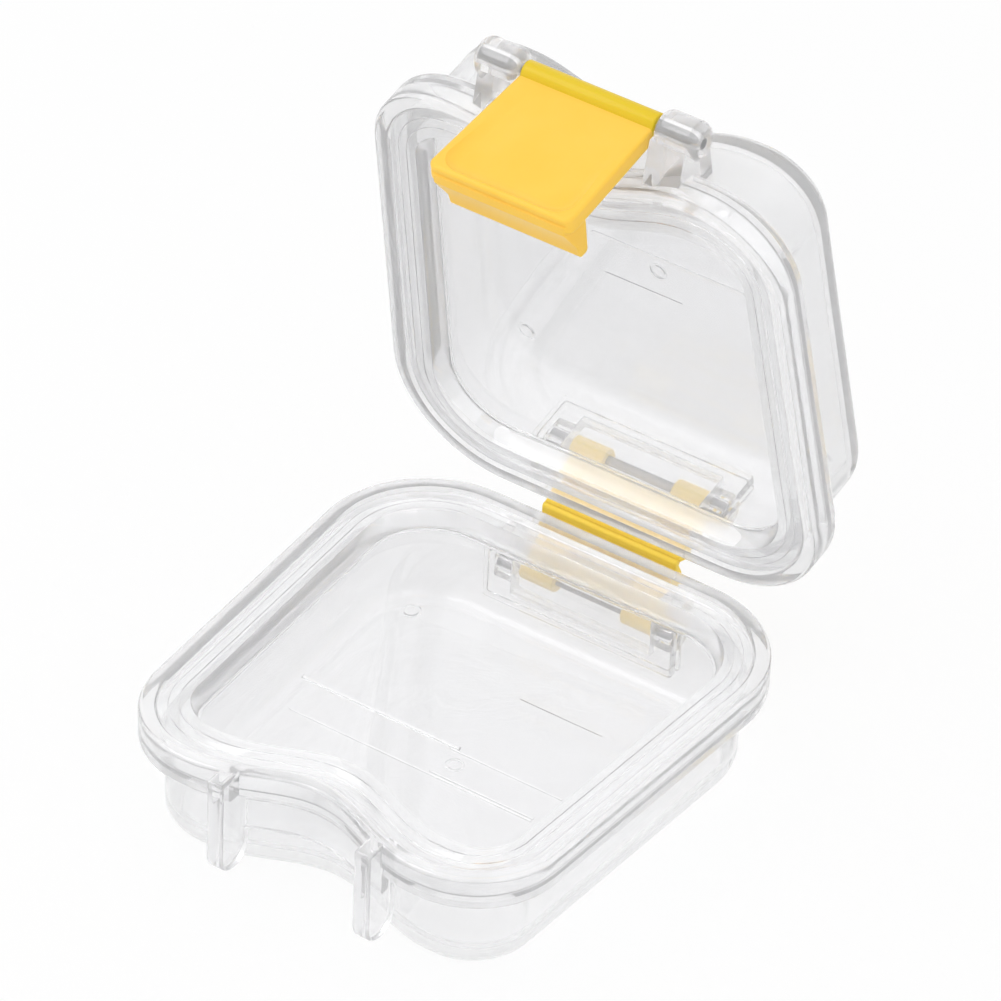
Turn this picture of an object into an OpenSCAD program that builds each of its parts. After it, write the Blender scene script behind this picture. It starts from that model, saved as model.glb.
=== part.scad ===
// Clear case for a denture: two hinged half shells, each closed by an elastic film in a pressed-in frame.
// A folding strip, pinned to each half, joins them at the back, and a latch on a third pin holds them
// at the front. The strip is one moulding with a fold line: its two leaves are drawn as two nodes.
// Drawn open, as it stands on a table. X runs across, Y from the latch to the hinge, Z up.
// The origin is the middle of the base's underside.

/* [Outline] */
// Width across the rim, just behind the front corners
front_width = 58; // [50:0.1:70]
// Width across the rim, just before the back corners
back_width = 61.8; // [52:0.1:74]
// Depth of the rim from front to back
depth = 65; // [58:0.1:80]
// Radius of the two front corners
front_corner = 12; // [9:0.1:14]
// Radius of the two back corners
back_corner = 15; // [9:0.1:18]
// Depth of the hollow in the middle of the front
recess_depth = 4.5; // [2:0.1:5]
// Width of that hollow from side to side
recess_width = 32; // [30:0.1:34]

/* [Shells] */
// Height of each half, from its outer face to its rim
half_height = 16.4; // [14:0.1:24]
// Height of the flange round the rim
flange_height = 4.5; // [4:0.1:6]
// How far the flange stands out from the bowl
flange_reach = 3.3; // [2.8:0.1:4]
// Thickness of the bowl's wall
wall = 1.7; // [1.2:0.05:2]
// Thickness of the bowl's floor
floor_thickness = 1.8; // [1.2:0.1:2.4]
// Radius of the bowl's lower edge
bottom_radius = 2.6; // [1.5:0.1:3.5]
// Small bevel on the edges of the flange
edge_bevel = 0.5; // [0.2:0.05:0.8]
// Gap between the two rims when the case is shut
rim_gap = 0.3; // [0.3:0.05:0.6]

/* [Film and frame] */
// Width of the rim outside the frame
lip_width = 2; // [1.5:0.1:2.4]
// Depth of the step that the film and the frame lie in
step_depth = 3.4; // [2.8:0.1:3.8]
// Thickness of the film
film_thickness = 0.2; // [0.1:0.05:0.4]
// How far the frame lies below the rim
frame_drop = 0.4; // [0.2:0.05:0.8]
// Width of the frame at the sides
frame_side = 3.7; // [3:0.1:5]
// Width of the frame at the front
frame_front = 6.2; // [4:0.1:7]
// Width of the frame at the back
frame_back = 7.3; // [4:0.1:8]

/* [Hinge] */
// Diameter of the three steel pins
pin_diameter = 1.5; // [1.2:0.05:1.6]
// Distance of each hinge pin from the plane between the rims
pin_height = 7.65; // [7:0.05:8.5]
// Distance of the hinge pins from the back edge of the rim
pin_inset = 1.82; // [1.5:0.01:2.2]
// Width of the hinge strip
strip_width = 19.8; // [14:0.1:22]
// Thickness of the strip's leaves
leaf_thickness = 1.4; // [1:0.1:2]
// Radius of the strip at its fold
fold_radius = 0.45; // [0.4:0.05:0.6]
// How far the fold line lies behind the rim
fold_reach = 0.9; // [0.8:0.05:1.2]
// Width of the opening between the knuckles of a leaf
knuckle_gap = 10; // [6:0.1:11]
// Depth of the cut in the flange in front of the strip
notch_depth = 0.7; // [0.4:0.1:1.2]
// Width of each rear lug
lug_width = 2.9; // [2.2:0.1:3.5]
// Depth of the pocket in the rear wall
pocket_depth = 1.2; // [0.6:0.1:1.6]

/* [Latch] */
// Width of the latch at its barrel
barrel_width = 17.8; // [14:0.1:18.2]
// Width of the latch at its free end
latch_width = 19.8; // [18:0.1:20.4]
// Length from the pin to the free end
latch_length = 19.5; // [18.5:0.1:20.2]
// Thickness of the latch's plate
latch_thickness = 2.3; // [1.8:0.1:2.6]
// Radius of the latch's barrel
barrel_radius = 1.5; // [1.3:0.05:1.7]
// Distance of the latch pin in front of the rim
latch_pin_reach = 3.9; // [3.6:0.1:5]
// Distance of the latch pin from the lid's rim plane
latch_pin_height = 5.8; // [5:0.1:7]
// Radius of the lid's ears round the latch pin
ear_radius = 2.5; // [2:0.05:2.8]
// Width of each lid ear
ear_width = 7; // [6:0.1:8]
// Thickness of each guard ear on the base
guard_thickness = 2.3; // [1.8:0.1:2.8]
// How far the guard ears stand out in front of the rim
guard_reach = 1.8; // [1.6:0.1:2.2]
// Depth of the guard ears from front to back
guard_depth = 5.6; // [4.6:0.1:6]
// Height of the guard ears' lower ends above the table
guard_foot = 2.3; // [1:0.1:4]
// Height of the catch's lower edge above the table
catch_foot = 7.8; // [7.7:0.1:9]
// Length of the hook from the plate's inner face
hook_reach = 5.1; // [4.8:0.1:5.4]
// Depth of the dish in the plate's outer face
dish_depth = 0.6; // [0.3:0.1:0.8]

/* [Fits and pose] */
// Radial clearance of a part that turns on a pin
running_fit = 0.05; // [0.02:0.01:0.1]
// Radial clearance of a pin in the lug that holds it
press_fit = 0.01; // [0.01:0.01:0.02]
// Clearance between parts that move past each other
side_clearance = 0.35; // [0.3:0.05:0.5]
// Angle between the two halves
lid_open = 77.5; // [0:0.5:120]
// Angle of the latch, outward from where it latches
latch_open = 3; // [0:0.5:112]

/* [Hidden] */
$fn = 48;
clear_plastic = [0.92, 0.93, 0.94, 0.45];
clear_film = [0.95, 0.96, 0.98, 0.25];
steel = [0.62, 0.63, 0.65];
yellow = [1, 0.84, 0.32];

front_steps = 12;
corner_steps = 8;
round_steps = 4;
embed = 0.6;
cut_past = 1;
widest_open = 120;

front_y = -depth / 2;
back_y = depth / 2;
wall_back_y = back_y - flange_reach;
mid_z = half_height + rim_gap / 2;
flange_z = half_height - flange_height;
ledge_z = half_height - step_depth;
film_top_z = ledge_z + film_thickness;
pin_y = back_y - pin_inset;
hinge_pin_z = mid_z - pin_height;
pin_bore = pin_diameter / 2 + running_fit;
held_bore = pin_diameter / 2 + press_fit;
knuckle_wall = 0.85;
lug_wall = 1;
pin_end_gap = 0.2;
knuckle_radius = pin_diameter / 2 + knuckle_wall;
lug_radius = pin_diameter / 2 + lug_wall;
lug_inner_x = strip_width / 2 + side_clearance;
hinge_pin_length = 2 * (lug_inner_x + lug_width - pin_end_gap);
fold_y = back_y + fold_reach;
leaf_inner_y = fold_y - fold_radius;
leaf_outer_y = leaf_inner_y + leaf_thickness;
notch_y = back_y - notch_depth;
latch_pin_y = front_y - latch_pin_reach;
latch_pin_z = half_height - latch_pin_height;
ear_inner_x = barrel_width / 2 + side_clearance;
ear_outer_x = ear_inner_x + ear_width;
ear_wall = 1;
latch_pin_length = 2 * (ear_outer_x - ear_wall - pin_end_gap);
frame_top_z = half_height - frame_drop;
frame_fit = 0.1;
guard_front_y = front_y - guard_reach;
guard_lap = 0.5;
guard_inner_x = latch_width / 2 - guard_lap;
hook_half = guard_inner_x - side_clearance;
plate_inner_y = guard_front_y - side_clearance;
plate_outer_y = plate_inner_y - latch_thickness;
plate_flare = 0.4;
latch_axis_z = 2 * mid_z - latch_pin_z;
shoulder_drop = 1.7;
shoulder_z = latch_axis_z - ear_radius - shoulder_drop;
tip_z = latch_axis_z - latch_length;
hook_tip_y = plate_inner_y + hook_reach;
hook_top_z = catch_foot - side_clearance;

// The hollow in the front, as a depth at each x
function recess(x) = abs(x) < recess_width / 2
    ? recess_depth * (1 + cos(360 * x / recess_width)) / 2 : 0;

// The case's outline, set in by given amounts at the sides, the front and the back
function outline(side, front, back) =
    let (rf = max(front_corner - (side + front) / 2, 1.5),
         rb = max(back_corner - (side + back) / 2, 1.5),
         cf = [front_width / 2 - side - rf, front_y + front + rf],
         cb = [back_width / 2 - side - rb, back_y - back - rb],
         run = cb - cf,
         tilt = atan2(run.y, run.x) - acos((rf - rb) / norm(run)),
         half = concat(
             [for (i = [0:front_steps]) let (x = cf.x * i / front_steps)
                 [x, front_y + front + recess(x)]],
             [for (i = [1:corner_steps]) let (a = -90 + (90 + tilt) * i / corner_steps)
                 cf + rf * [cos(a), sin(a)]],
             [for (i = [0:corner_steps]) let (a = tilt + (90 - tilt) * i / corner_steps)
                 cb + rb * [cos(a), sin(a)]]))
    concat(half, [for (i = [len(half) - 1:-1:1]) [-half[i].x, half[i].y]]);

// One ring of a loft: the outline set in evenly, at a height
function ring(inset, z) = uneven_ring(inset, inset, inset, z);
function uneven_ring(side, front, back, z) =
    [for (p = outline(side, front, back)) [p.x, p.y, z]];

// A quarter-round between a wall and a floor, as rings
function round_rings(inset, z, r) =
    [for (i = [0:round_steps]) let (a = 90 * i / round_steps)
        ring(inset + r * (1 - sin(a)), z + r * (1 - cos(a)))];
function reversed(list) = [for (i = [len(list) - 1:-1:0]) list[i]];

// A skin through rings of equal length, either capped at both ends or joined end to start
module loft(rings, joined = false) {
    n = len(rings[0]);
    m = len(rings);
    points = [for (r = rings) for (p = r) p];
    bands = joined ? m : m - 1;
    sides = [for (j = [0:bands - 1]) for (i = [0:n - 1])
        let (k = (j + 1) % m, h = (i + 1) % n)
        each [[j * n + i, k * n + i, k * n + h], [j * n + i, k * n + h, j * n + h]]];
    caps = joined ? [] : [[for (i = [0:n - 1]) i], [for (i = [n - 1:-1:0]) (m - 1) * n + i]];
    polyhedron(points, concat(caps, sides), convexity = 8);
}

// Places: a half turned over to be the lid, and the swings of the lid and the latch
module turned_over() {
    translate([0, 0, 2 * mid_z]) mirror([0, 0, 1]) children();
}
module swing(y, z, angle) {
    translate([0, y, z]) rotate([-angle, 0, 0]) translate([0, -y, -z]) children();
}
module on_lid() {
    swing(fold_y, mid_z, lid_open) children();
}
module on_latch() {
    on_lid() swing(latch_pin_y, 2 * mid_z - latch_pin_z, latch_open) children();
}

// A rod along X, and a prism along X drawn from a profile in Y and Z
module rod(y, z, r, length) {
    translate([-length / 2, y, z]) rotate([0, 90, 0]) cylinder(r = r, h = length);
}
module prism(x, length) {
    translate([x, 0, 0]) rotate([90, 0, 90]) linear_extrude(length) children();
}
module both_sides() {
    for (side = [0, 1]) mirror([side, 0, 0]) children();
}

// Bowl, flange and the step that holds the film and its frame
module half_bowl() {
    inner = flange_reach + wall;
    loft(concat(
        round_rings(flange_reach, 0, bottom_radius),
        [ring(flange_reach, flange_z),
         ring(edge_bevel, flange_z),
         ring(0, flange_z + edge_bevel),
         ring(0, half_height - edge_bevel),
         ring(edge_bevel, half_height),
         ring(lip_width, half_height),
         ring(lip_width, ledge_z),
         ring(inner, ledge_z)],
        reversed(round_rings(inner, floor_thickness, bottom_radius - 0.6))));
}

// Rear wall at the hinge: a pocket for the strip's knuckles, its back wall inside, and the two lugs
module hinge_side() {
    backing_x = lug_inner_x + lug_width + 0.8;
    backing_foot = 1.4;
    backing_top_z = ledge_z - 0.5;
    knuckle_room = 1.2;
    pocket_low_z = hinge_pin_z - knuckle_radius - knuckle_room;
    pocket_y = wall_back_y - pocket_depth;
    difference() {
        union() {
            children();
            translate([-backing_x, pocket_y - wall, pocket_low_z - backing_foot])
                cube([2 * backing_x, wall + pocket_depth / 2,
                      backing_top_z - pocket_low_z + backing_foot]);
            both_sides() prism(lug_inner_x, lug_width) lug_profile(pocket_y);
        }
        translate([-lug_inner_x, pocket_y, pocket_low_z])
            cube([2 * lug_inner_x, flange_reach + pocket_depth, flange_z - pocket_low_z]);
        translate([-lug_inner_x, notch_y, flange_z - cut_past])
            cube([2 * lug_inner_x, notch_depth + cut_past, flange_height + 2 * cut_past]);
        rod(pin_y, hinge_pin_z, held_bore, 2 * (lug_inner_x + lug_width + cut_past));
    }
}
module lug_profile(pocket_y) {
    translate([pin_y, hinge_pin_z]) circle(r = lug_radius);
    translate([pocket_y - embed, hinge_pin_z - lug_radius])
        square([pin_y - pocket_y + embed, lug_radius + flange_z - hinge_pin_z + embed]);
    translate([pin_y - embed, hinge_pin_z])
        square([lug_radius + embed, flange_z - hinge_pin_z + embed]);
}

module base_shell() {
    color(clear_plastic) hinge_side() {
        half_bowl();
        both_sides() guard_ear();
        catch_rib();
    }
}

// One of the two ears that guard the latch, hanging from the flange
module guard_ear() {
    end_radius = guard_depth / 2;
    prism(guard_inner_x, guard_thickness) {
        translate([guard_front_y + end_radius, guard_foot + end_radius]) circle(r = end_radius);
        translate([guard_front_y, guard_foot + end_radius])
            square([guard_depth, flange_z + embed - guard_foot - end_radius]);
        translate([guard_front_y, flange_z])
            square([guard_reach + lip_width, flange_height]);
    }
}

// Strip of wall under the flange, between the guard ears, that the hook clips behind
module catch_rib() {
    steps = 10;
    thickness = 1.4;
    setback = 0.4;
    xs = [for (i = [-steps:steps]) (guard_inner_x + embed) * i / steps];
    front = [for (x = xs) [x, front_y + setback + recess(x)]];
    translate([0, 0, catch_foot]) linear_extrude(flange_z + embed - catch_foot)
        polygon(concat(front, [for (p = reversed(front)) [p.x, p.y + thickness]]));
}

// Ring pressed into the step, with a bevel down to the film
module frame_ring() {
    bevel = 1.5;
    side = lip_width + frame_side;
    front = lip_width + frame_front;
    back = lip_width + frame_back;
    loft([
        ring(lip_width + frame_fit, film_top_z),
        ring(lip_width + frame_fit, frame_top_z),
        uneven_ring(side - bevel, front - bevel, back - bevel, frame_top_z),
        uneven_ring(side, front, back, film_top_z + bevel / 2),
        uneven_ring(side, front, back, film_top_z)], true);
}
module film_sheet() {
    translate([0, 0, ledge_z]) linear_extrude(film_thickness)
        polygon(outline(lip_width + frame_fit, lip_width + frame_fit, lip_width + frame_fit));
}

module base_film_frame() {
    color(clear_plastic) frame_ring();
}
module base_film() {
    color(clear_film) film_sheet();
}
module base_hinge_pin() {
    color(steel) rod(pin_y, hinge_pin_z, pin_diameter / 2, hinge_pin_length);
}

// One leaf of the yellow strip: a plate behind the rim, with two knuckles on the half's pin.
// Its end is cut back beside the fold line, so that the strip can fold backward.
module hinge_leaf(end_gap) {
    bevel_spare = 2;
    bevel = widest_open / 2 + bevel_spare;
    low_z = hinge_pin_z;
    knuckle_width = (strip_width - knuckle_gap) / 2;
    far_y = leaf_outer_y - knuckle_radius;
    difference() {
        union() {
            prism(-strip_width / 2, strip_width) polygon([
                [leaf_inner_y, low_z],
                [leaf_outer_y, low_z],
                [leaf_outer_y, mid_z - (leaf_outer_y - fold_y) * tan(bevel)],
                [fold_y, mid_z - end_gap],
                [leaf_inner_y, mid_z - end_gap]]);
            rod(leaf_outer_y - leaf_thickness / 2, low_z, leaf_thickness / 2, strip_width);
            both_sides() prism(knuckle_gap / 2, knuckle_width) {
                translate([pin_y, low_z]) circle(r = knuckle_radius);
                translate([pin_y, low_z - knuckle_radius])
                    square([far_y - pin_y, 2 * knuckle_radius]);
                translate([far_y, low_z]) circle(r = knuckle_radius);
            }
        }
        rod(pin_y, low_z, pin_bore, strip_width + cut_past);
    }
}
module hinge_base_leaf() {
    color(yellow) {
        hinge_leaf(0);
        rod(fold_y, mid_z, fold_radius, strip_width);
    }
}
module hinge_lid_leaf() {
    color(yellow) on_lid() turned_over() difference() {
        hinge_leaf(side_clearance);
        rod(fold_y, mid_z, fold_radius + running_fit, strip_width + cut_past);
    }
}
module lid_hinge_pin() {
    color(steel) on_lid() turned_over() rod(pin_y, hinge_pin_z, pin_diameter / 2, hinge_pin_length);
}

// One of the lid's two ears: a rounded barrel on a root that runs into the flange and the wall
module lid_ear() {
    end_round = 1.2;
    root_top_z = half_height - edge_bevel - embed;
    inner = ear_inner_x;
    outer = ear_outer_x;
    steps = 8;
    translate([inner, latch_pin_y, latch_pin_z]) rotate([0, 90, 0]) rotate_extrude() {
        square([ear_radius, ear_width - end_round]);
        square([ear_radius - end_round, ear_width]);
        translate([ear_radius - end_round, ear_width - end_round]) circle(r = end_round);
    }
    intersection() {
        prism(inner, ear_width - end_round) polygon([
            [latch_pin_y, latch_pin_z - ear_radius],
            [front_y + 2 * flange_reach, latch_pin_z - ear_radius],
            [front_y + 2 * flange_reach, root_top_z],
            [front_y + 1, root_top_z],
            [latch_pin_y, latch_pin_z + ear_radius]]);
        for (root = [[flange_z + embed, flange_reach + embed], [half_height, lip_width / 2]])
            linear_extrude(root[0]) polygon(concat(
                [[inner - 1, latch_pin_y - 1], [outer, latch_pin_y - 1]],
                [for (i = [steps:-1:0]) let (x = inner - 1 + (ear_width + 1) * i / steps)
                    [x, front_y + root[1] + recess(x)]]));
    }
}
module lid_shell() {
    color(clear_plastic) on_lid() turned_over() difference() {
        hinge_side() {
            half_bowl();
            both_sides() lid_ear();
        }
        rod(latch_pin_y, latch_pin_z, held_bore, latch_pin_length + 2 * pin_end_gap);
    }
}
module lid_film_frame() {
    color(clear_plastic) on_lid() turned_over() frame_ring();
}
module lid_film() {
    color(clear_film) on_lid() turned_over() film_sheet();
}
module latch_pin() {
    color(steel) on_lid() turned_over()
        rod(latch_pin_y, latch_pin_z, pin_diameter / 2, latch_pin_length);
}

// Latch: a barrel, a plate with a shallow dish and a hook that reaches inward under the catch
module latch() {
    color(yellow) on_latch() difference() {
        union() {
            rod(latch_pin_y, latch_axis_z, barrel_radius, barrel_width);
            translate([-barrel_width / 2, plate_outer_y + dish_depth, shoulder_z - embed])
                cube([barrel_width, latch_thickness - dish_depth, latch_axis_z - shoulder_z + embed]);
            latch_plate();
            prism(-hook_half, 2 * hook_half) hook_profile();
        }
        rod(latch_pin_y, latch_axis_z, pin_bore, barrel_width + cut_past);
        latch_dish();
    }
}
module latch_plate() {
    corner = 1.2;
    half = latch_width / 2;
    translate([0, plate_inner_y, 0]) rotate([90, 0, 0]) linear_extrude(latch_thickness)
        polygon(concat(
            [[-(half - plate_flare), shoulder_z]],
            arc([-(half - corner), tip_z + corner], corner, 180, 270),
            arc([half - corner, tip_z + corner], corner, 270, 360),
            [[half - plate_flare, shoulder_z]]));
}
function arc(centre, r, from, to, steps = 6) =
    [for (i = [0:steps]) let (a = from + (to - from) * i / steps) centre + r * [cos(a), sin(a)]];
module latch_dish() {
    rim = 1.1;
    tip_rim = 1;
    corner = 1.4;
    x = latch_width / 2 - plate_flare - rim - corner;
    low = tip_z + tip_rim + corner;
    high = shoulder_z - rim - corner;
    translate([0, plate_outer_y + dish_depth, 0]) rotate([90, 0, 0]) linear_extrude(dish_depth + cut_past)
        polygon(concat(
            arc([-x, low], corner, 180, 270), arc([x, low], corner, 270, 360),
            arc([x, high], corner, 0, 90), arc([-x, high], corner, 90, 180)));
}
module hook_profile() {
    tip_height = 1.7;
    nose = 0.35;
    ramp_back = 1.9;
    fillet = 0.6;
    polygon([
        [plate_inner_y - embed, tip_z],
        [plate_inner_y, tip_z],
        [hook_tip_y - ramp_back, hook_top_z - tip_height - nose],
        [hook_tip_y - nose, hook_top_z - tip_height],
        [hook_tip_y, hook_top_z - tip_height + nose],
        [hook_tip_y, hook_top_z - nose],
        [hook_tip_y - nose, hook_top_z],
        [plate_inner_y + fillet, hook_top_z],
        [plate_inner_y, hook_top_z + fillet],
        [plate_inner_y - embed, hook_top_z + fillet]]);
}

base_shell();
base_film_frame();
base_film();
base_hinge_pin();
hinge_base_leaf();
hinge_lid_leaf();
lid_hinge_pin();
lid_shell();
lid_film_frame();
lid_film();
latch_pin();
latch();
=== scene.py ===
"""Clear case for a denture, open on a white table.

Two clear shells, each with a film held by a frame, are joined by a yellow folding strip and shut
by a yellow latch, on three steel pins."""

import math

import bmesh
import bpy
from mathutils import Matrix, Vector
from mathutils.kdtree import KDTree

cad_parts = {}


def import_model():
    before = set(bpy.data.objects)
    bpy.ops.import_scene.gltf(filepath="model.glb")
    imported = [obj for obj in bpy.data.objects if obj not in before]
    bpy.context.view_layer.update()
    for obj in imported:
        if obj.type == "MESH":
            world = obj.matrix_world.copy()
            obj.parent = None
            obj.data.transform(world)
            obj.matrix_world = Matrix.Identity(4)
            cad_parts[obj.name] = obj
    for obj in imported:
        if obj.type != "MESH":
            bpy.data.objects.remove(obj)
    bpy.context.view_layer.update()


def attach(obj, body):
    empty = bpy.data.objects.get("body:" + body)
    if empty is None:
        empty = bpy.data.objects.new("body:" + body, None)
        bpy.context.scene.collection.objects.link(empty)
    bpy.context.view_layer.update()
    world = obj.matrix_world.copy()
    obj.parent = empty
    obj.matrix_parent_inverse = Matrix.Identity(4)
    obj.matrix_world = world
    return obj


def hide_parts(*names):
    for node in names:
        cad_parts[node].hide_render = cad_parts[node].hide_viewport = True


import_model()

MM = 0.001

# ---------------------------------------------------------------- sizes, in millimetres

# Modelling: the gap that keeps two skins apart, how deep an added piece sinks into what carries it,
# how far a cutter runs past what it cuts, and the sharpest turn that is still shaded smooth
SKIN_GAP = 0.02
SINK = 0.6
PAST = 1.0
SMOOTH_ANGLE = math.radians(32)

# Outline of the rim
FRONT_WIDTH = 58.0
BACK_WIDTH = 61.8
DEPTH = 65.0
FRONT_CORNER = 12.0
BACK_CORNER = 15.0
RECESS_DEPTH = 4.5
RECESS_WIDTH = 32.0
FRONT_Y = -DEPTH / 2
BACK_Y = DEPTH / 2
FRONT_STEPS = 20
CORNER_STEPS = 16

# Shells
HALF_HEIGHT = 16.4
FLANGE_HEIGHT = 4.5
FLANGE_REACH = 3.3
WALL = 1.7
FLOOR = 1.8
BOTTOM_RADIUS = 2.6
EDGE_ROUND = 0.55
RIM_GAP = 0.3
LIP_ROUND = 0.25
FLANGE_Z = HALF_HEIGHT - FLANGE_HEIGHT
MID_Z = HALF_HEIGHT + RIM_GAP / 2

# Film and frame
LIP_WIDTH = 2.0
STEP_DEPTH = 3.4
FILM_THICKNESS = 0.2
FRAME_DROP = 0.4
FRAME_FIT = 0.1
FRAME_SIDE = 4.9
FRAME_FRONT = 6.2
FRAME_BACK = 4.9
FRAME_BEVEL = 1.3
FRAME_EDGE = 0.35
FRAME_LINE = 0.08
LEDGE_Z = HALF_HEIGHT - STEP_DEPTH
FILM_TOP_Z = LEDGE_Z + FILM_THICKNESS

# Creases: place along Y, two ends along X, and height
BASE_CREASES = [(-8.35, -16.4, 6.5, 0.14), (-8.9, 5.5, 21.6, 0.08), (-14.3, -14.0, 20.8, 0.08),
                (-13.8, 6.0, 20.8, 0.08), (3.7, 7.0, 18.7, 0.06)]
LID_CREASES = [(-16.6, -0.2, 21.1, 0.1), (-10.4, 1.0, 12.0, 0.05)]

# Marks of the mould on the floor: place and radius of each ring, and the gate at a side wall
MOULD_RINGS = [(-21.3, 21.8, 1.3), (21.3, 21.8, 1.3), (0.2, 0.3, 1.2)]
RING_LINE = 0.35
RING_DEPTH = 0.3
GATE_PLACE = (27.1, 19.5, 2.9)
GATE_RADIUS = 0.55
GATE_LENGTH = 0.9

# Hinge
PIN_RADIUS = 0.75
PIN_HEIGHT = 7.65
PIN_SETBACK = 1.82
PIN_Y = BACK_Y - PIN_SETBACK
BASE_PIN_Z = MID_Z - PIN_HEIGHT
STRIP_WIDTH = 19.8
LEAF_THICKNESS = 1.4
FOLD_RADIUS = 0.45
FOLD_REACH = 0.9
FOLD_Y = BACK_Y + FOLD_REACH
LEAF_INNER_Y = FOLD_Y - FOLD_RADIUS
LEAF_OUTER_Y = LEAF_INNER_Y + LEAF_THICKNESS
NOTCH_DEPTH = 0.15
NOTCH_Y = BACK_Y - NOTCH_DEPTH
WIDEST_OPEN = 120
KNUCKLE_GAP = 10.0
KNUCKLE_WALL = 0.85
KNUCKLE_RADIUS = PIN_RADIUS + KNUCKLE_WALL
SIDE_CLEARANCE = 0.35
LUG_WIDTH = 2.9
LUG_INNER_X = STRIP_WIDTH / 2 + SIDE_CLEARANCE
LUG_WALL = 1.0
LUG_RADIUS = PIN_RADIUS + LUG_WALL
POCKET_DEPTH = 1.2
PIN_END_GAP = 0.2
HINGE_PIN_LENGTH = 2 * (LUG_INNER_X + LUG_WIDTH - PIN_END_GAP)
RUNNING_GAP = 0.05
HELD_BORE = PIN_RADIUS + SKIN_GAP
RUNNING_BORE = PIN_RADIUS + RUNNING_GAP

# Latch, its pin and the ears
LATCH_PIN_REACH = 3.9
LATCH_PIN_DROP = 5.8
LATCH_PIN_Y = FRONT_Y - LATCH_PIN_REACH
LATCH_PIN_Z = HALF_HEIGHT - LATCH_PIN_DROP
LATCH_AXIS_Z = 2 * MID_Z - LATCH_PIN_Z
BARREL_WIDTH = 18.5
BARREL_RADIUS = 1.5
LATCH_WIDTH = 19.8
LATCH_LENGTH = 19.5
LATCH_THICKNESS = 2.3
EAR_RADIUS = 2.5
EAR_WIDTH = 6.0
EAR_INNER_X = BARREL_WIDTH / 2 + SIDE_CLEARANCE
EAR_OUTER_X = EAR_INNER_X + EAR_WIDTH
EAR_ROUND = 1.2
EAR_WALL = 0.5
EAR_TOP_DROP = 1.1
LATCH_PIN_LENGTH = 2 * (EAR_OUTER_X - EAR_WALL)
GUARD_REACH = 1.8
GUARD_DEPTH = 5.6
GUARD_FOOT = 2.3
GUARD_THICKNESS = 2.3
GUARD_OVERLAP = 0.5
GUARD_INNER_X = LATCH_WIDTH / 2 - GUARD_OVERLAP
GUARD_FRONT_Y = FRONT_Y - GUARD_REACH
CATCH_FOOT = 7.8
HOOK_REACH = 5.9
PLATE_INNER_Y = GUARD_FRONT_Y - SIDE_CLEARANCE
PLATE_OUTER_Y = PLATE_INNER_Y - LATCH_THICKNESS
TIP_Z = LATCH_AXIS_Z - LATCH_LENGTH

# Pose
LID_OPEN = math.radians(77.5)
LATCH_OPEN = math.radians(3.0)


# ---------------------------------------------------------------- outlines and places


def recess(x):
    """Depth of the hollow in the front, at a place across the case."""
    if abs(x) >= RECESS_WIDTH / 2:
        return 0.0
    return RECESS_DEPTH * (1 + math.cos(2 * math.pi * x / RECESS_WIDTH)) / 2


def arc(x, y, radius, start, end, steps):
    """Points on an arc, angles in radians."""
    angles = [start + (end - start) * i / steps for i in range(steps + 1)]
    return [(x + radius * math.cos(a), y + radius * math.sin(a)) for a in angles]


def outline(side, front, back):
    """The rim's outline, set in at the sides, the front and the back."""
    sharpest = 1.5
    front_r = max(FRONT_CORNER - (side + front) / 2, sharpest)
    back_r = max(BACK_CORNER - (side + back) / 2, sharpest)
    front_c = Vector((FRONT_WIDTH / 2 - side - front_r, FRONT_Y + front + front_r))
    back_c = Vector((BACK_WIDTH / 2 - side - back_r, BACK_Y - back - back_r))
    run = back_c - front_c
    tilt = math.atan2(run.y, run.x) - math.acos((front_r - back_r) / run.length)
    half = []
    for i in range(FRONT_STEPS + 1):
        x = front_c.x * i / FRONT_STEPS
        half.append((x, FRONT_Y + front + recess(x)))
    half += arc(*front_c, front_r, -math.pi / 2, tilt, CORNER_STEPS)[1:]
    half += arc(*back_c, back_r, tilt, math.pi / 2, CORNER_STEPS)
    return half + [(-x, y) for x, y in reversed(half[1:])]


def ring(inset, z):
    """The outline at a height, set in alike all round."""
    return uneven_ring(inset, inset, inset, z)


def uneven_ring(side, front, back, z):
    """The outline at a height, set in by its own measure at the sides, the front and the back."""
    return [(x, y, z) for x, y in outline(side, front, back)]


def round_rings(inset, z, radius, start, end, steps):
    """Rings round an edge: the arc runs in the plane of inset and height."""
    return [ring(i, h) for i, h in arc(inset, z, radius, start, end, steps)]


def swing(y, z, angle):
    """Turn about a pin along X, backwards for a positive angle."""
    pin = Vector((0, y, z)) * MM
    return Matrix.Translation(pin) @ Matrix.Rotation(-angle, 4, "X") @ Matrix.Translation(-pin)


TURN_OVER = Matrix.Translation((0, 0, 2 * MID_Z * MM)) @ Matrix.Diagonal((1, 1, -1, 1))
ON_BASE = Matrix.Identity(4)
ON_LID = swing(FOLD_Y, MID_Z, LID_OPEN)
ON_LATCH = ON_LID @ swing(LATCH_PIN_Y, LATCH_AXIS_Z, LATCH_OPEN)


# ---------------------------------------------------------------- modelling


def deselect():
    bpy.ops.object.select_all(action="DESELECT")


def pick(piece):
    """Select this piece alone."""
    deselect()
    piece.select_set(True)
    bpy.context.view_layer.objects.active = piece


def named(name):
    """Name the piece that was just added, and its mesh."""
    piece = bpy.context.object
    piece.name = name
    piece.data.name = name
    return piece


def place_selected(old, new):
    """Move the selected vertices, which lie at the old ring's points, to the new ring's."""
    mesh = bmesh.from_edit_mesh(bpy.context.object.data)
    spots = KDTree(len(old))
    for index, point in enumerate(old):
        spots.insert(Vector(point) * MM, index)
    spots.balance()
    for vertex in mesh.verts:
        if vertex.select:
            index = spots.find(vertex.co)[1]
            vertex.co = Vector(new[index]) * MM
    bmesh.update_edit_mesh(bpy.context.object.data)


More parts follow.
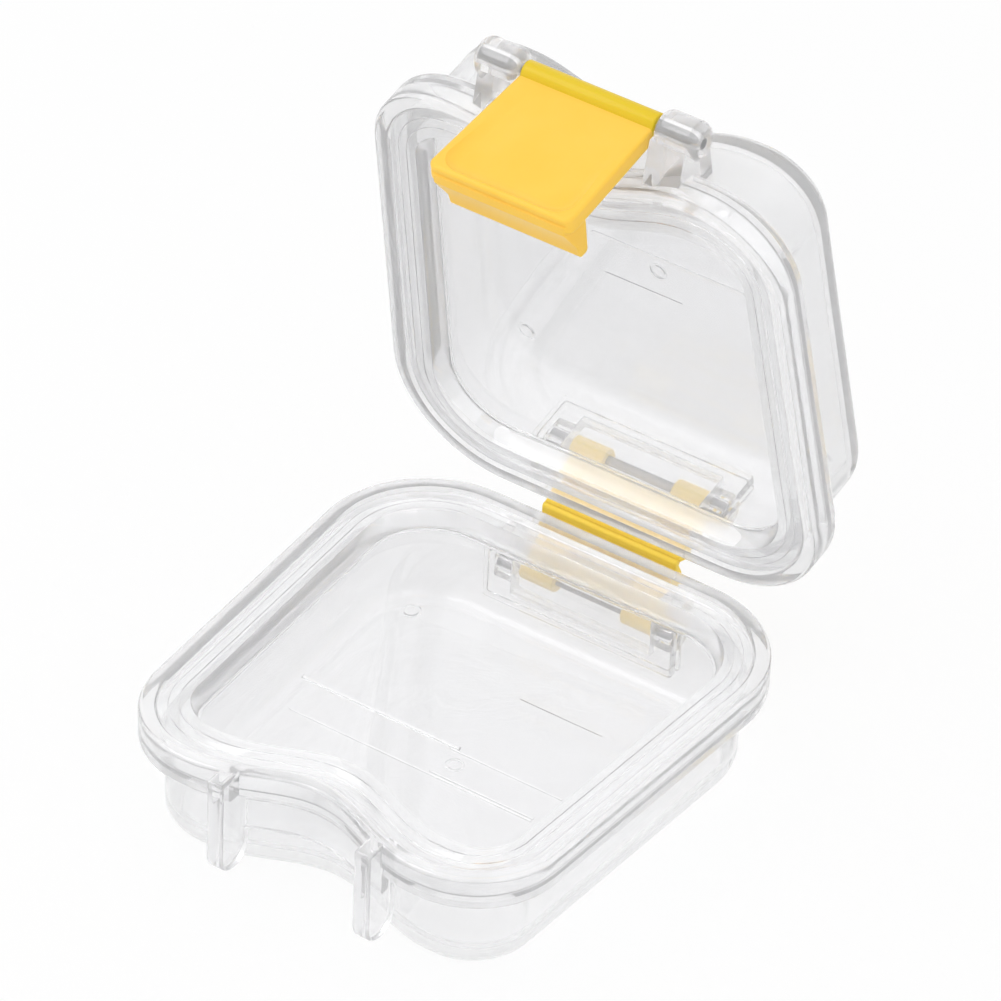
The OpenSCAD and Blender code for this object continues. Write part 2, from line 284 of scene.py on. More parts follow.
def drawn_face(name, points, filled=True):
    """A round primitive whose corners are put on the given points, left in edit mode."""
    deselect()
    fill = "NGON" if filled else "NOTHING"
    bpy.ops.mesh.primitive_circle_add(vertices=len(points), radius=MM, fill_type=fill)
    named(name)
    bpy.ops.object.mode_set(mode="EDIT")
    mesh = bmesh.from_edit_mesh(bpy.context.object.data)
    mesh.verts.ensure_lookup_table()
    for vertex, point in zip(mesh.verts, points):
        vertex.co = Vector(point) * MM
    bmesh.update_edit_mesh(bpy.context.object.data)


def leave_edit():
    """Weld, turn the faces outward and shade smooth."""
    bpy.ops.mesh.select_all(action="SELECT")
    bpy.ops.mesh.remove_doubles(threshold=0.002 * MM)
    bpy.ops.mesh.normals_make_consistent(inside=False)
    bpy.ops.object.mode_set(mode="OBJECT")
    bpy.ops.object.shade_smooth_by_angle(angle=SMOOTH_ANGLE)
    return bpy.context.object


def lofted(name, rings):
    """A solid drawn up from its lowest face, one ring after another."""
    drawn_face(name, rings[0])
    for old, new in zip(rings, rings[1:]):
        bpy.ops.mesh.extrude_region_move()
        place_selected(old, new)
    return leave_edit()


def hooped(name, rings):
    """A ring-shaped solid: the first loop is drawn round a section and back to itself."""
    drawn_face(name, rings[0], filled=False)
    bpy.ops.mesh.select_all(action="SELECT")
    for old, new in zip(rings, rings[1:] + rings[:1]):
        bpy.ops.mesh.extrude_edges_move()
        place_selected(old, new)
    return leave_edit()


def prism(name, profile, start, length, rounding=0.0, segments=3):
    """A bar along X with a profile drawn in Y and Z, its edges rounded."""
    drawn_face(name, [(start, y, z) for y, z in profile])
    bpy.ops.mesh.extrude_region_move(TRANSFORM_OT_translate={"value": (length * MM, 0, 0)})
    piece = leave_edit()
    if rounding:
        rounded(piece, rounding, segments)
    return piece


def rounded(piece, width, segments=3, angle=30):
    """Round the edges that turn by more than an angle."""
    pick(piece)
    bevel = piece.modifiers.new("rounding", "BEVEL")
    bevel.width = width * MM
    bevel.segments = segments
    bevel.limit_method = "ANGLE"
    bevel.angle_limit = math.radians(angle)
    bpy.ops.object.modifier_apply(modifier=bevel.name)
    bpy.ops.object.shade_smooth_by_angle(angle=SMOOTH_ANGLE)


def rod(name, y, z, radius, length, rounding=0.0, centre_x=0.0, vertices=48):
    """A round bar along X."""
    deselect()
    bpy.ops.mesh.primitive_cylinder_add(
        vertices=vertices, radius=radius * MM, depth=length * MM,
        location=(centre_x * MM, y * MM, z * MM), rotation=(0, math.pi / 2, 0))
    piece = named(name)
    settle(piece)
    if rounding:
        rounded(piece, rounding)
    else:
        bpy.ops.object.shade_smooth_by_angle(angle=SMOOTH_ANGLE)
    return piece


def disc(name, x, y, radius, low, height):
    """An upright cylinder that stands on a height."""
    deselect()
    bpy.ops.mesh.primitive_cylinder_add(
        vertices=32, radius=radius * MM, depth=height * MM,
        location=(x * MM, y * MM, (low + height / 2) * MM))
    piece = named(name)
    settle(piece)
    return piece


def block(name, low, high, rounding=0.0):
    """A box between two corners."""
    deselect()
    bpy.ops.mesh.primitive_cube_add(size=1)
    piece = named(name)
    piece.scale = [(b - a) * MM for a, b in zip(low, high)]
    piece.location = [(a + b) / 2 * MM for a, b in zip(low, high)]
    settle(piece)
    if rounding:
        rounded(piece, rounding)
    return piece


def settle(piece):
    """Put the object's place into its mesh."""
    pick(piece)
    bpy.ops.object.transform_apply(location=True, rotation=True, scale=True)


def combine(piece, others, operation="UNION"):
    """Join or cut a piece with others, which are used up."""
    for other in others:
        pick(piece)
        boolean = piece.modifiers.new("join", "BOOLEAN")
        boolean.operation = operation
        boolean.solver = "EXACT"
        boolean.object = other
        bpy.ops.object.modifier_apply(modifier=boolean.name)
        bpy.data.objects.remove(other)
    pick(piece)
    bpy.ops.object.shade_smooth_by_angle(angle=SMOOTH_ANGLE)
    return piece


def mirrored_pair(make):
    """The piece that make gives, and its mirror image across X = 0."""
    right = make()
    pick(right)
    bpy.ops.object.duplicate()
    left = bpy.context.object
    left.scale = (-1, 1, 1)
    settle(left)
    outward(left)
    return [right, left]


def outward(piece):
    """Turn the faces outward."""
    pick(piece)
    bpy.ops.object.mode_set(mode="EDIT")
    bpy.ops.mesh.select_all(action="SELECT")
    bpy.ops.mesh.normals_make_consistent(inside=False)
    bpy.ops.object.mode_set(mode="OBJECT")


def moved(piece, matrix):
    """Put a piece drawn in the closed base's place where it lies at rest."""
    piece.matrix_world = matrix
    settle(piece)
    if matrix.determinant() < 0:
        outward(piece)
    return piece


# ---------------------------------------------------------------- materials


class Socket:
    """A shader value that Python's own operators work on."""

    def __init__(self, tree, link):
        self.tree = tree
        self.link = link

    def _math(self, operation, *values):
        return Socket(self.tree, node(self.tree, "ShaderNodeMath", {"operation": operation},
                                      dict(enumerate(values))).outputs[0])

    def __add__(self, other):
        return self._math("ADD", self, other)

    def __radd__(self, other):
        return self._math("ADD", other, self)

    def __sub__(self, other):
        return self._math("SUBTRACT", self, other)

    def __rsub__(self, other):
        return self._math("SUBTRACT", other, self)

    def __mul__(self, other):
        return self._math("MULTIPLY", self, other)

    def __rmul__(self, other):
        return self._math("MULTIPLY", other, self)

    def clamped(self):
        return self._math("MINIMUM", self._math("MAXIMUM", self, 0.0), 1.0)


def node(tree, kind, settings=None, inputs=None):
    """Any node: its settings first, then the values or links of its sockets."""
    made = tree.nodes.new(kind)
    for key, value in (settings or {}).items():
        setattr(made, key, value)
    for key, value in (inputs or {}).items():
        if isinstance(value, Socket):
            value = value.link
        if isinstance(value, bpy.types.NodeSocket):
            tree.links.new(value, made.inputs[key])
        else:
            made.inputs[key].default_value = value
    return made


def finish_named(name, **constants):
    """A material with one main shader, whose constant sockets are set."""
    material = bpy.data.materials.new(name)
    material.use_nodes = True
    tree = material.node_tree
    shader = tree.nodes["Principled BSDF"]
    for key, value in constants.items():
        shader.inputs[key.replace("_", " ")].default_value = value
    return material, tree, shader


def noise(tree, scale, detail=2.0, roughness=0.5, stretch=(1, 1, 1)):
    """Noise on the object's own coordinates, scale in features per metre."""
    place = node(tree, "ShaderNodeTexCoord").outputs["Object"]
    mapped = node(tree, "ShaderNodeMapping", None, {"Vector": place, "Scale": stretch}).outputs[0]
    made = node(tree, "ShaderNodeTexNoise", None,
                {"Vector": mapped, "Scale": scale, "Detail": detail, "Roughness": roughness})
    return Socket(tree, made.outputs["Fac"])


def blended(tree, share, first, second):
    """A colour between two colours, by a share of the second."""
    made = node(tree, "ShaderNodeMix", {"data_type": "RGBA"}, {0: share, 6: first, 7: second})
    return made.outputs[2]


def bumped(tree, shader, height, distance, strength=1.0):
    """Give the shader's surface a relief of some metres between height 0 and 1."""
    made = node(tree, "ShaderNodeBump", None,
                {"Height": height, "Distance": distance, "Strength": strength})
    tree.links.new(made.outputs["Normal"], shader.inputs["Normal"])


def feed(tree, shader, name, value):
    """Let a value set one of the shader's sockets."""
    tree.links.new(value.link, shader.inputs[name])


def clear_plastic(name, tint, clearness, ior=1.49):
    """Clear moulded plastic: polished, with a faint haze and a moulded wall's slight waves.

    Light on its way to a shadow passes straight through, a little dimmed, as in a slender wall."""
    material, tree, shader = finish_named(
        name, Base_Color=(*tint, 1), Transmission_Weight=clearness, IOR=ior, Alpha=0.95)
    flow = noise(tree, 95, 1.5, 0.45, stretch=(1, 0.6, 1.6))
    fine = noise(tree, 900, 2.0, 0.6)
    feed(tree, shader, "Roughness", fine * 0.0032 + 0.0024)
    bumped(tree, shader, flow, 0.00003)
    passing = node(tree, "ShaderNodeBsdfTransparent", None, {"Color": (0.95, 0.95, 0.95, 1)})
    path = node(tree, "ShaderNodeLightPath")
    mixed = node(tree, "ShaderNodeMixShader", None,
                 {0: path.outputs["Is Shadow Ray"], 1: shader.outputs[0], 2: passing.outputs[0]})
    tree.links.new(mixed.outputs[0], tree.nodes["Material Output"].inputs["Surface"])
    return material


def yellow_plastic(name, green, axis=None):
    """Yellow moulded plastic; round the axis of a pin its barrel is painted darker and greener,
    partly for the steel seen through the slight wall and partly as painted shade.
    """
    material, tree, shader = finish_named(
        name, Subsurface_Weight=0.12, Subsurface_Scale=0.002, Subsurface_Radius=(1.0, 0.6, 0.1),
        Specular_IOR_Level=0.18)
    cloud = noise(tree, 160, 2.0)
    speckle = noise(tree, 2600, 2.0, 0.6)
    colour = blended(tree, cloud, (0.98, green, 0.07, 1), (1.0, green + 0.06, 0.11, 1))
    roughness = speckle * 0.12 + 0.28
    if axis is not None:
        reach = BARREL_RADIUS + 0.12
        fade = 0.1
        place = node(tree, "ShaderNodeTexCoord").outputs["Object"]
        across = node(tree, "ShaderNodeVectorMath", {"operation": "MULTIPLY"},
                      {0: place, 1: (0, 1, 1)})
        away = node(tree, "ShaderNodeVectorMath", {"operation": "DISTANCE"},
                    {0: across.outputs["Vector"], 1: (0, axis.y, axis.z)})
        # The barrel round the pin is painted darker and greener: partly the steel seen through its
        # slight wall, partly painted shade for the dark band along the barrel
        steel_through_and_painted_shade = (reach / fade - Socket(tree, away.outputs["Value"]) * (1 / (fade * MM))).clamped()
        colour = blended(tree, steel_through_and_painted_shade, colour, (0.78, 0.56, 0.03, 1))
        roughness = roughness - steel_through_and_painted_shade * 0.12
    tree.links.new(colour, shader.inputs["Base Color"])
    feed(tree, shader, "Roughness", roughness)
    bumped(tree, shader, speckle, 0.00002, 0.5)
    return material


def pin_steel(name, shade):
    """Drawn wire, with faint lines along it."""
    material, tree, shader = finish_named(
        name, Base_Color=(shade, shade, 1.03 * shade, 1), Metallic=1.0)
    drawn = noise(tree, 1500, 3.0, 0.6, stretch=(0.05, 1, 1))
    feed(tree, shader, "Roughness", drawn * 0.2 + 0.12)
    bumped(tree, shader, drawn, 0.00001, 0.6)
    return material


def dress(piece, material, slot, body, *nodes):
    """Give a piece its finish, the body it rides on and the nodes it stands for."""
    piece.data.materials.clear()
    piece.data.materials.append(material)
    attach(piece, body)
    if nodes:
        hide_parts(*nodes)


# ---------------------------------------------------------------- shells


def half_bowl(name):
    """Bowl, flange and step of one half, drawn as the base."""
    quarter = math.pi / 2
    inner = FLANGE_REACH + WALL
    inner_round = 2.0
    fillet = 0.4
    rings = round_rings(FLANGE_REACH + BOTTOM_RADIUS, BOTTOM_RADIUS, BOTTOM_RADIUS,
                        -quarter, -math.pi, 7)
    rings += round_rings(FLANGE_REACH - fillet, FLANGE_Z - fillet, fillet, 0, quarter, 3)
    rings += round_rings(EDGE_ROUND, FLANGE_Z + EDGE_ROUND, EDGE_ROUND, -quarter, -math.pi, 4)
    rings += round_rings(EDGE_ROUND, HALF_HEIGHT - EDGE_ROUND, EDGE_ROUND, math.pi, quarter, 5)
    rings += round_rings(LIP_WIDTH - LIP_ROUND, HALF_HEIGHT - LIP_ROUND, LIP_ROUND, quarter, 0, 2)
    rings += [ring(LIP_WIDTH, LEDGE_Z)]
    rings += round_rings(inner - LIP_ROUND, LEDGE_Z - LIP_ROUND, LIP_ROUND, quarter, 0, 2)
    rings += round_rings(inner + inner_round, FLOOR + inner_round, inner_round,
                         -math.pi, -quarter, 6)
    return lofted(name, rings)


def lug_profile():
    """A lug seen from its side: round below the pin, and sunk into the wall and the flange."""
    root_y = BACK_Y - FLANGE_REACH - POCKET_DEPTH - SINK
    top = FLANGE_Z + SINK
    low = arc(PIN_Y, BASE_PIN_Z, LUG_RADIUS, 0, -math.pi / 2, 10)
    return [(PIN_Y + LUG_RADIUS, top)] + low + [(root_y, BASE_PIN_Z - LUG_RADIUS), (root_y, top)]


def hinge_side(shell):
    """The pocket in the rear wall, the wall behind it, and the two lugs with their bores."""
    margin = 1.4
    knuckle_room = 1.2
    backing_x = LUG_INNER_X + LUG_WIDTH - SINK + margin
    pocket_low = BASE_PIN_Z - KNUCKLE_RADIUS - knuckle_room
    pocket_y = BACK_Y - FLANGE_REACH - POCKET_DEPTH
    backing = block("backing", (-backing_x, pocket_y - WALL, pocket_low - margin),
                    (backing_x, pocket_y + POCKET_DEPTH * 1.5, LEDGE_Z - 0.5), rounding=0.4)
    lugs = mirrored_pair(lambda: prism("lug", lug_profile(), LUG_INNER_X, LUG_WIDTH, rounding=0.2))
    combine(shell, [backing] + lugs)
    pocket = block("pocket", (-LUG_INNER_X, pocket_y, pocket_low),
                   (LUG_INNER_X, BACK_Y + PAST, FLANGE_Z + SKIN_GAP / 2), rounding=0.25)
    notch = block("notch", (-LUG_INNER_X, NOTCH_Y, FLANGE_Z - PAST),
                  (LUG_INNER_X, BACK_Y + 2 * PAST, MID_Z + PAST))
    bore = rod("bore", PIN_Y, BASE_PIN_Z, HELD_BORE, 2 * (LUG_INNER_X + LUG_WIDTH + PAST))
    return combine(shell, [pocket, notch, bore], "DIFFERENCE")


def guard_ear():
    """One of the two ears that guard the latch."""
    radius = GUARD_DEPTH / 2
    middle_y = GUARD_FRONT_Y + radius
    upper_back = FRONT_Y + LIP_WIDTH
    top = HALF_HEIGHT - SKIN_GAP
    profile = arc(middle_y, GUARD_FOOT + radius, radius, math.pi, 2 * math.pi, 16)
    profile += [(GUARD_FRONT_Y + GUARD_DEPTH, FLANGE_Z + SINK), (upper_back, FLANGE_Z + SINK),
                (upper_back, top), (GUARD_FRONT_Y, top)]
    return prism("guard", profile, GUARD_INNER_X, GUARD_THICKNESS, rounding=0.35)


def catch_rib():
    """The strip under the flange that the hook clips behind."""
    thickness = 1.4
    setback = 0.4
    steps = 16
    half = GUARD_INNER_X + GUARD_OVERLAP
    xs = [half * (2 * i / steps - 1) for i in range(steps + 1)]
    front = [(x, FRONT_Y + setback + recess(x), CATCH_FOOT) for x in xs]
    back = [(x, y + thickness, z) for x, y, z in reversed(front)]
    drawn_face("catch", front + back)
    height = FLANGE_Z + SINK - CATCH_FOOT
    bpy.ops.mesh.extrude_region_move(TRANSFORM_OT_translate={"value": (0, 0, height * MM)})
    piece = leave_edit()
    rounded(piece, width=0.25)
    return piece


def mould_marks(shell):
    """Marks of the mould: two ejector rings and a sprue on the floor, and a gate at a side."""
    for x, y, radius in MOULD_RINGS:
        outer = disc("mark", x, y, radius, FLOOR - RING_DEPTH, PAST)
        inner = disc("mark", x, y, radius - RING_LINE, FLOOR - PAST / 2, PAST)
        combine(shell, [combine(outer, [inner], "DIFFERENCE")], "DIFFERENCE")
    x, y, z = GATE_PLACE
    gate = rod("gate", y, z, GATE_RADIUS, GATE_LENGTH, rounding=0.2, centre_x=x, vertices=24)
    return combine(shell, [gate])


def base_shell():
    """The lower half, with the guard ears and the catch rib in front."""
    shell = mould_marks(hinge_side(half_bowl("base_shell_clear")))
    return combine(shell, mirrored_pair(guard_ear) + [catch_rib()])


def ear_barrel():
    """The round of a lid ear, about the latch's pin."""
    middle = (EAR_INNER_X + EAR_OUTER_X) / 2
    barrel = rod("barrel", LATCH_PIN_Y, LATCH_PIN_Z, EAR_RADIUS, EAR_WIDTH, centre_x=middle)
    rounded(barrel, EAR_ROUND, segments=6, angle=60)
    return barrel


def ear_root(reach, low, high):
    """The root of a lid ear, between two heights: its back follows the hollow in the front."""
    steps = 10
    inner = EAR_INNER_X
    outer = EAR_OUTER_X - EAR_ROUND
    back = [(inner + (outer - inner) * i / steps) for i in range(steps + 1)]
    points = [(outer, LATCH_PIN_Y, low), (inner, LATCH_PIN_Y, low)]
    points += [(x, FRONT_Y + reach + recess(x), low) for x in back]
    drawn_face("root", points)
    bpy.ops.mesh.extrude_region_move(TRANSFORM_OT_translate={"value": (0, 0, (high - low) * MM)})
    return leave_edit()


def lid_shell():
    """The upper half: a bowl like the base's, turned over, with the latch's two ears."""
    shell = mould_marks(hinge_side(half_bowl("lid_shell_clear")))
    low = LATCH_PIN_Z - EAR_RADIUS
    top = HALF_HEIGHT - EAR_TOP_DROP
    back_y = FRONT_Y + 2 * FLANGE_REACH

    def ear():
        rise = prism("rise", [(LATCH_PIN_Y, low), (back_y, low), (back_y, top),
                              (FRONT_Y + PAST, top), (LATCH_PIN_Y, LATCH_PIN_Z + EAR_RADIUS)],
                     EAR_INNER_X - PAST, EAR_WIDTH + 2 * PAST)
        lower = ear_root(FLANGE_REACH + SINK, low - PAST, FLANGE_Z + SINK)
        upper = ear_root(LIP_WIDTH / 2, FLANGE_Z, HALF_HEIGHT + PAST)
        root = combine(combine(lower, [upper]), [rise], "INTERSECT")
        return combine(ear_barrel(), [root])

    combine(shell, mirrored_pair(ear))
    bore = rod("bore", LATCH_PIN_Y, LATCH_PIN_Z, HELD_BORE, LATCH_PIN_LENGTH - SKIN_GAP)
    return moved(combine(shell, [bore], "DIFFERENCE"), ON_LID @ TURN_OVER)


def film_frame(name):
    """The ring pressed into the step, with two fine lines along its top and a slope to the film."""
    outer = LIP_WIDTH + FRAME_FIT
    top = HALF_HEIGHT - FRAME_DROP
    low = FILM_TOP_Z + SKIN_GAP
    start = outer + FRAME_EDGE
    widths = [LIP_WIDTH + width for width in (FRAME_SIDE, FRAME_FRONT, FRAME_BACK)]
    rings = [ring(outer, low)]
    rings += round_rings(start, top - FRAME_EDGE, FRAME_EDGE, math.pi, math.pi / 2, 3)
    line_places = (0.3, 0.65)
    line_depth = 0.07
    line_section = ((-FRAME_LINE, 0), (0, line_depth), (FRAME_LINE, 0))
    for share in line_places:
        for step, drop in line_section:
            insets = [start + (width - FRAME_BEVEL - start) * share + step for width in widths]
            rings.append(uneven_ring(*insets, top - drop))
    lip = 0.3
    slope = [(FRAME_BEVEL, top), (FRAME_BEVEL - 0.12, top - 0.04), (FRAME_BEVEL - 0.2, top - 0.15),
             (lip, low + lip + 0.1), (lip / 2, low + lip), (0, low + lip), (0, low)]
    rings += [uneven_ring(*(width - inward for width in widths), z) for inward, z in slope]
    return hooped(name, rings)


def film(name, creases):
    """The stretched sheet, with its creases."""
    inset = LIP_WIDTH + FRAME_FIT
    top = FILM_TOP_Z - SKIN_GAP
    sheet = lofted(name, [ring(inset, LEDGE_Z + SKIN_GAP), ring(inset, top)])
    ridges = [rod("crease", y, top - height, 2 * height, end - start,
                  centre_x=(start + end) / 2, vertices=12)
              for y, start, end, height in creases]
    return combine(sheet, ridges)


# ---------------------------------------------------------------- strip, latch and pins


def hinge_leaf(name, end_gap):
    """One leaf of the yellow strip, drawn on the base: a plate behind the rim with two knuckles."""
    bevel = math.radians(WIDEST_OPEN / 2 + 2)
    half = LEAF_THICKNESS / 2
    outer_end = MID_Z - (LEAF_OUTER_Y - FOLD_Y) * math.tan(bevel)
    profile = arc(LEAF_OUTER_Y - half, BASE_PIN_Z, half, -math.pi, 0, 12)
    profile += [(LEAF_OUTER_Y, outer_end), (FOLD_Y, MID_Z - end_gap),
                (LEAF_INNER_Y, MID_Z - end_gap)]
    plate = prism(name, profile, -STRIP_WIDTH / 2, STRIP_WIDTH, rounding=0.1)

    def knuckle():
        far = LEAF_OUTER_Y - KNUCKLE_RADIUS
        ends = arc(far, BASE_PIN_Z, KNUCKLE_RADIUS, -math.pi / 2, math.pi / 2, 16)
        ends += arc(PIN_Y, BASE_PIN_Z, KNUCKLE_RADIUS, math.pi / 2, 3 * math.pi / 2, 16)
        width = (STRIP_WIDTH - KNUCKLE_GAP) / 2
        return prism("knuckle", ends, KNUCKLE_GAP / 2, width, rounding=0.15)

    combine(plate, mirrored_pair(knuckle))
    bore = rod("bore", PIN_Y, BASE_PIN_Z, RUNNING_BORE, STRIP_WIDTH + 2 * PAST)
    return combine(plate, [bore], "DIFFERENCE")


def base_leaf():
    """The base's leaf carries the round bead that the strip folds about."""
    bead = rod("bead", FOLD_Y, MID_Z, FOLD_RADIUS, STRIP_WIDTH - SKIN_GAP, rounding=0.08)
    return combine(hinge_leaf("base_leaf_yellow", 0), [bead])


def lid_leaf():
    """The lid's leaf is hollowed along the fold, so that it swings round the bead."""
    end_gap = 0.1
    groove = rod("groove", FOLD_Y, MID_Z, FOLD_RADIUS + RUNNING_GAP, STRIP_WIDTH + 2 * PAST)
    leaf = combine(hinge_leaf("lid_leaf_yellow", end_gap), [groove], "DIFFERENCE")
    return moved(leaf, ON_LID @ TURN_OVER)


def latch_plate():
    """The plate, which widens from the barrel down to its rounded tip."""
    half = LATCH_WIDTH / 2
    top_half = BARREL_WIDTH / 2
    corner = 1.2
    low = TIP_Z + corner
    quarter = math.pi / 2
    outline_xz = [(-top_half, LATCH_AXIS_Z)]
    outline_xz += arc(corner - half, low, corner, 2 * quarter, 3 * quarter, 6)
    outline_xz += arc(half - corner, low, corner, 3 * quarter, 4 * quarter, 6)
    outline_xz += [(top_half, LATCH_AXIS_Z)]
    drawn_face("latch_yellow", [(x, PLATE_INNER_Y, z) for x, z in outline_xz])
    bpy.ops.mesh.extrude_region_move(
        TRANSFORM_OT_translate={"value": (0, -LATCH_THICKNESS * MM, 0)})
    piece = leave_edit()
    rounded(piece, width=0.35)
    return piece


def latch_dish():
    """The tool that scoops the plate's outer face, shallow at the barrel and deeper at the tip."""
    rim = 1.2
    tip_rim = 0.9
    depth = 0.8
    softness = 3.0
    corner = softness + 0.4
    tilt = 0.05
    spread = softness * (1 - math.sin(math.acos(1 - depth / softness)))
    x = LATCH_WIDTH / 2 - rim + spread - corner
    top_x = BARREL_WIDTH / 2 - rim + spread - corner
    low = TIP_Z + tip_rim - spread + corner
    high = LATCH_AXIS_Z - corner
    quarter = math.pi / 2
    centres = [(-x, low, 2), (x, low, 3), (top_x, high, 0), (-top_x, high, 1)]
    points = []
    for centre_x, centre_z, turn in centres:
        points += arc(centre_x, centre_z, corner, turn * quarter, (turn + 1) * quarter, 8)
    start = 4
    drawn_face("dish", [(x, PLATE_OUTER_Y - start, z) for x, z in points])
    bpy.ops.mesh.extrude_region_move(
        TRANSFORM_OT_translate={"value": (0, (start + depth) * MM, 0)})
    piece = leave_edit()
    rounded(piece, softness, segments=12, angle=60)
    return moved(piece, swing(PLATE_OUTER_Y, TIP_Z, -tilt))


def hook_profile():
    """The hook seen from its side: foot, slanted end, blunt nose and neck."""
    tip_y = PLATE_INNER_Y + HOOK_REACH
    top_z = CATCH_FOOT - SIDE_CLEARANCE
    tip_height = 1.7
    nose = 0.35
    ramp_back = 1.9
    fillet = 0.6
    foot = 0.01
    sunk_y = PLATE_INNER_Y - 1.2
    return [(sunk_y, TIP_Z + foot), (PLATE_INNER_Y + 0.2, TIP_Z + foot),
            (tip_y - ramp_back, top_z - tip_height - nose), (tip_y - nose, top_z - tip_height),
            (tip_y, top_z - tip_height + nose), (tip_y, top_z - nose), (tip_y - nose, top_z),
            (PLATE_INNER_Y + fillet, top_z), (PLATE_INNER_Y, top_z + fillet),
            (sunk_y, top_z + fillet)]


def latch():
    """Plate, barrel and hook in one, with a fine groove along the tip."""
    plate = latch_plate()
    barrel = rod("barrel", LATCH_PIN_Y, LATCH_AXIS_Z, BARREL_RADIUS, BARREL_WIDTH, rounding=0.2)
    half = GUARD_INNER_X - SIDE_CLEARANCE
    hook = prism("hook", hook_profile(), -half, 2 * half, rounding=0.12)
    groove_y = PLATE_OUTER_Y + 1.0
    groove_z = TIP_Z - 0.1
    groove_radius = 0.32
    groove = rod("groove", groove_y, groove_z, groove_radius, LATCH_WIDTH + 2 * PAST)
    combine(plate, [latch_dish()], "DIFFERENCE")
    combine(plate, [barrel, hook])
    bore = rod("bore", LATCH_PIN_Y, LATCH_AXIS_Z, RUNNING_BORE, BARREL_WIDTH + 2 * PAST)
    return moved(combine(plate, [groove, bore], "DIFFERENCE"), ON_LATCH)


def pin(name, y, z, length, matrix):
    """A steel pin with rounded ends."""
    return moved(rod(name, y, z, PIN_RADIUS, length, rounding=0.15), matrix)


# ---------------------------------------------------------------- stage


def camera():
    """The photograph's view: a long lens from the front left, above, rolled a little."""
    azimuth = 0.575277
    elevation = 0.651594
    roll = 0.042998
    distance = 866.97
    target = Vector((-15.729, 65.008 - DEPTH / 2, 15)) * MM
    focal_pixels = 7011.2
    picture_side = 1001
    sensor = 36
    back = Vector((math.sin(azimuth) * math.cos(elevation),
                   -math.cos(azimuth) * math.cos(elevation), math.sin(elevation)))
    right = Vector((math.cos(azimuth), math.sin(azimuth), 0))
    up = back.cross(right)
    rolled_right = math.cos(roll) * right + math.sin(roll) * up
    rolled_up = math.cos(roll) * up - math.sin(roll) * right
    data = bpy.data.cameras.new("camera")
    data.sensor_width = sensor
    data.lens = focal_pixels / picture_side * sensor
    eye = bpy.data.objects.new("camera", data)
    bpy.context.scene.collection.objects.link(eye)
    turn = Matrix((rolled_right, rolled_up, back)).transposed().to_4x4()
    eye.matrix_world = Matrix.Translation(target + back * distance * MM) @ turn
    bpy.context.scene.camera = eye


def lamp(name, place, size, watts):
    """A square soft lamp that faces the case's middle."""
    target = Vector((0, 0, 30)) * MM
    data = bpy.data.lights.new(name, "AREA")
    data.size = size
    data.energy = watts
    made = bpy.data.objects.new(name, data)
    bpy.context.scene.collection.objects.link(made)
    away = Vector(place) - target
    turn = away.to_track_quat("Z", "Y").to_matrix().to_4x4()
    made.matrix_world = Matrix.Translation(place) @ turn


SEEN_RAYS = ("Is Camera Ray", "Is Glossy Ray", "Is Transmission Ray")


def world():
    """White behind the case; a shade below white in the clear plastic and in reflections."""
    made = bpy.data.worlds.new("studio")
    bpy.context.scene.world = made
    made.use_nodes = True
    tree = made.node_tree
    tree.nodes.clear()
    path = node(tree, "ShaderNodeLightPath")
    direction = node(tree, "ShaderNodeTexCoord").outputs["Generated"]
    height = Socket(tree, node(tree, "ShaderNodeSeparateXYZ", None, {0: direction}).outputs["Z"])
    rise = (height * 1.3 + 0.15).clamped()
    sky = blended(tree, rise, (0.965, 0.966, 0.97, 1), (0.985, 0.985, 0.988, 1))
    looked_at = sum(Socket(tree, path.outputs[kind]) for kind in SEEN_RAYS[1:]).clamped()
    lit = blended(tree, looked_at, (0.78, 0.78, 0.78, 1), sky)
    seen = blended(tree, path.outputs["Is Camera Ray"], lit, (1, 1, 1, 1))
    background = node(tree, "ShaderNodeBackground", None, {"Color": seen, "Strength": 1.0})
    output = node(tree, "ShaderNodeOutputWorld")
    tree.links.new(background.outputs[0], output.inputs["Surface"])


def table():
    """A white table that runs out of the picture and keeps the case's shadow."""
    deselect()
    bpy.ops.mesh.primitive_plane_add(size=6)
    floor = named("table")
    material, tree, shader = finish_named(
        "table_white", Base_Color=(0.9, 0.9, 0.9, 1), Roughness=0.8)
    white = node(tree, "ShaderNodeEmission", None, {"Color": (1, 1, 1, 1), "Strength": 1.0})
    pale = node(tree, "ShaderNodeEmission", None,
                {"Color": (0.88, 0.88, 0.885, 1), "Strength": 1.0})
    path = node(tree, "ShaderNodeLightPath")
    glow = node(tree, "ShaderNodeMixShader", None,
                {0: path.outputs["Is Camera Ray"], 1: pale.outputs[0], 2: white.outputs[0]})
    seen = sum(Socket(tree, path.outputs[kind]) for kind in SEEN_RAYS)
    share = seen.clamped() * 0.85
    mixed = node(tree, "ShaderNodeMixShader", None,
                 {0: share, 1: shader.outputs[0], 2: glow.outputs[0]})
    tree.links.new(mixed.outputs[0], tree.nodes["Material Output"].inputs["Surface"])
    floor.data.materials.append(material)


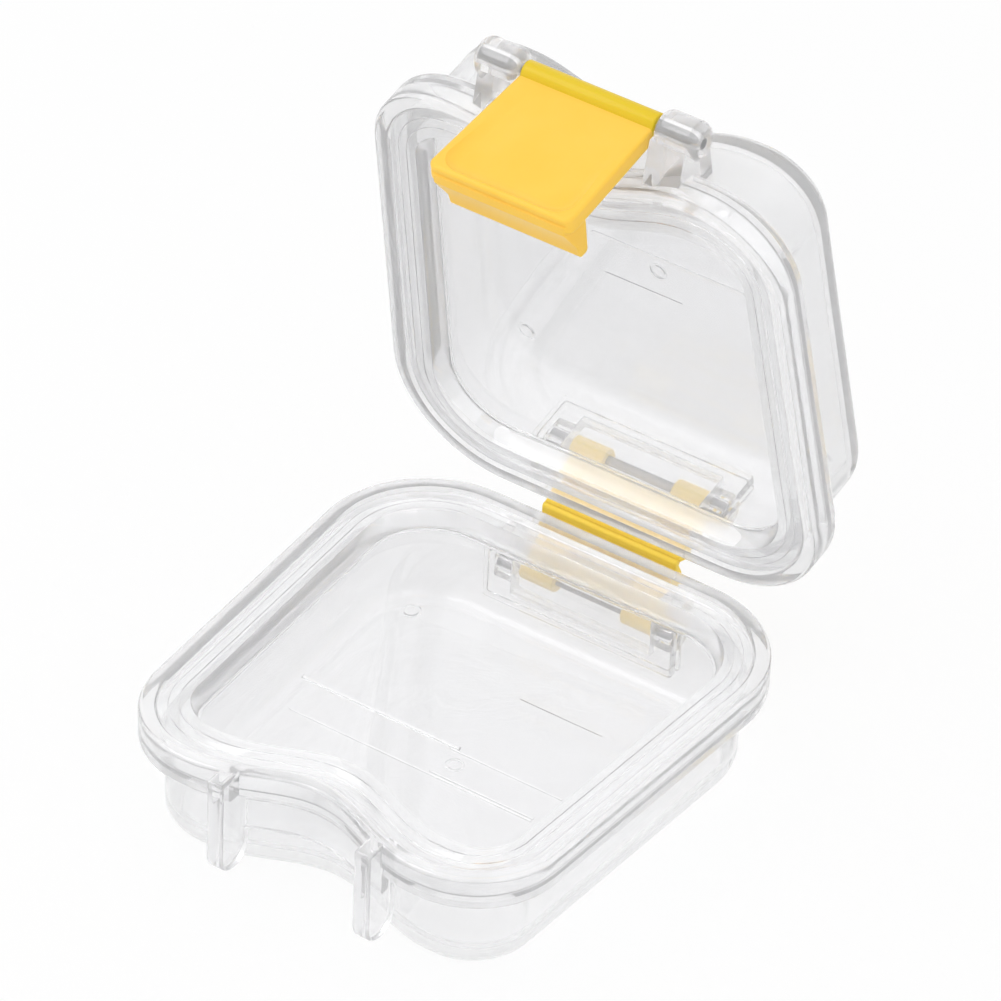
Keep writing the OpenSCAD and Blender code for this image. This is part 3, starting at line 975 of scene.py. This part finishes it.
def main():
    camera()
    world()
    table()
    lamp("key", (-0.5, -0.35, 0.9), size=0.7, watts=3.5)
    lamp("fill", (0.8, -0.2, 0.6), size=0.8, watts=1.5)
    many = 32
    scene = bpy.context.scene
    scene.view_settings.view_transform = "Standard"
    scene.cycles.max_bounces = many
    scene.cycles.transmission_bounces = many
    scene.cycles.transparent_max_bounces = many

    shell_clear = clear_plastic("shell_clear", (0.98, 0.98, 0.985), clearness=0.82)
    frame_clear = clear_plastic("frame_clear", (0.985, 0.985, 0.99), clearness=0.84)
    film_clear = clear_plastic("film_clear", (0.99, 0.99, 0.995), clearness=0.98, ior=1.42)
    latch_axis = ON_LID @ (Vector((0, LATCH_PIN_Y, LATCH_AXIS_Z)) * MM)
    # The strip's yellow is lighter than the latch's: painted light, to make up for the shade that
    # the strip sits in under the lid
    yellow = yellow_plastic("yellow_plastic", green=0.66)
    latch_yellow = yellow_plastic("yellow_plastic_latch", green=0.58, axis=latch_axis)
    # Both steels are set far darker than bare steel, and the latch pin's is darkest: painted dark
    # reflection, for the dark grey that the pins show through the clear plastic
    steel = pin_steel("hinge_pin_steel", shade=0.22)
    steel_painted_darker = pin_steel("latch_pin_steel", shade=0.1)

    lid_place = ON_LID @ TURN_OVER
    dress(base_shell(), shell_clear, "clear_shell", "base", "base_shell")
    dress(lid_shell(), shell_clear, "clear_shell", "lid", "lid_shell")
    dress(film_frame("base_frame_clear"), frame_clear, "clear_frame", "base", "base_film_frame")
    dress(moved(film_frame("lid_frame_clear"), lid_place),
          frame_clear, "clear_frame", "lid", "lid_film_frame")
    dress(film("base_film_clear", BASE_CREASES), film_clear, "clear_film", "base", "base_film")
    dress(moved(film("lid_film_clear", LID_CREASES), lid_place),
          film_clear, "clear_film", "lid", "lid_film")
    dress(base_leaf(), yellow, "yellow_plastic", "base", "hinge_base_leaf")
    dress(lid_leaf(), yellow, "yellow_plastic", "lid", "hinge_lid_leaf")
    dress(latch(), latch_yellow, "yellow_plastic", "latch", "latch")
    dress(pin("base_pin_steel", PIN_Y, BASE_PIN_Z, HINGE_PIN_LENGTH, ON_BASE),
          steel, "steel", "base", "base_hinge_pin")
    dress(pin("lid_pin_steel", PIN_Y, BASE_PIN_Z, HINGE_PIN_LENGTH, lid_place),
          steel, "steel", "lid", "lid_hinge_pin")
    dress(pin("latch_pin_steel", LATCH_PIN_Y, LATCH_PIN_Z, LATCH_PIN_LENGTH, lid_place),
          steel_painted_darker, "steel", "lid", "latch_pin")
    deselect()


main()
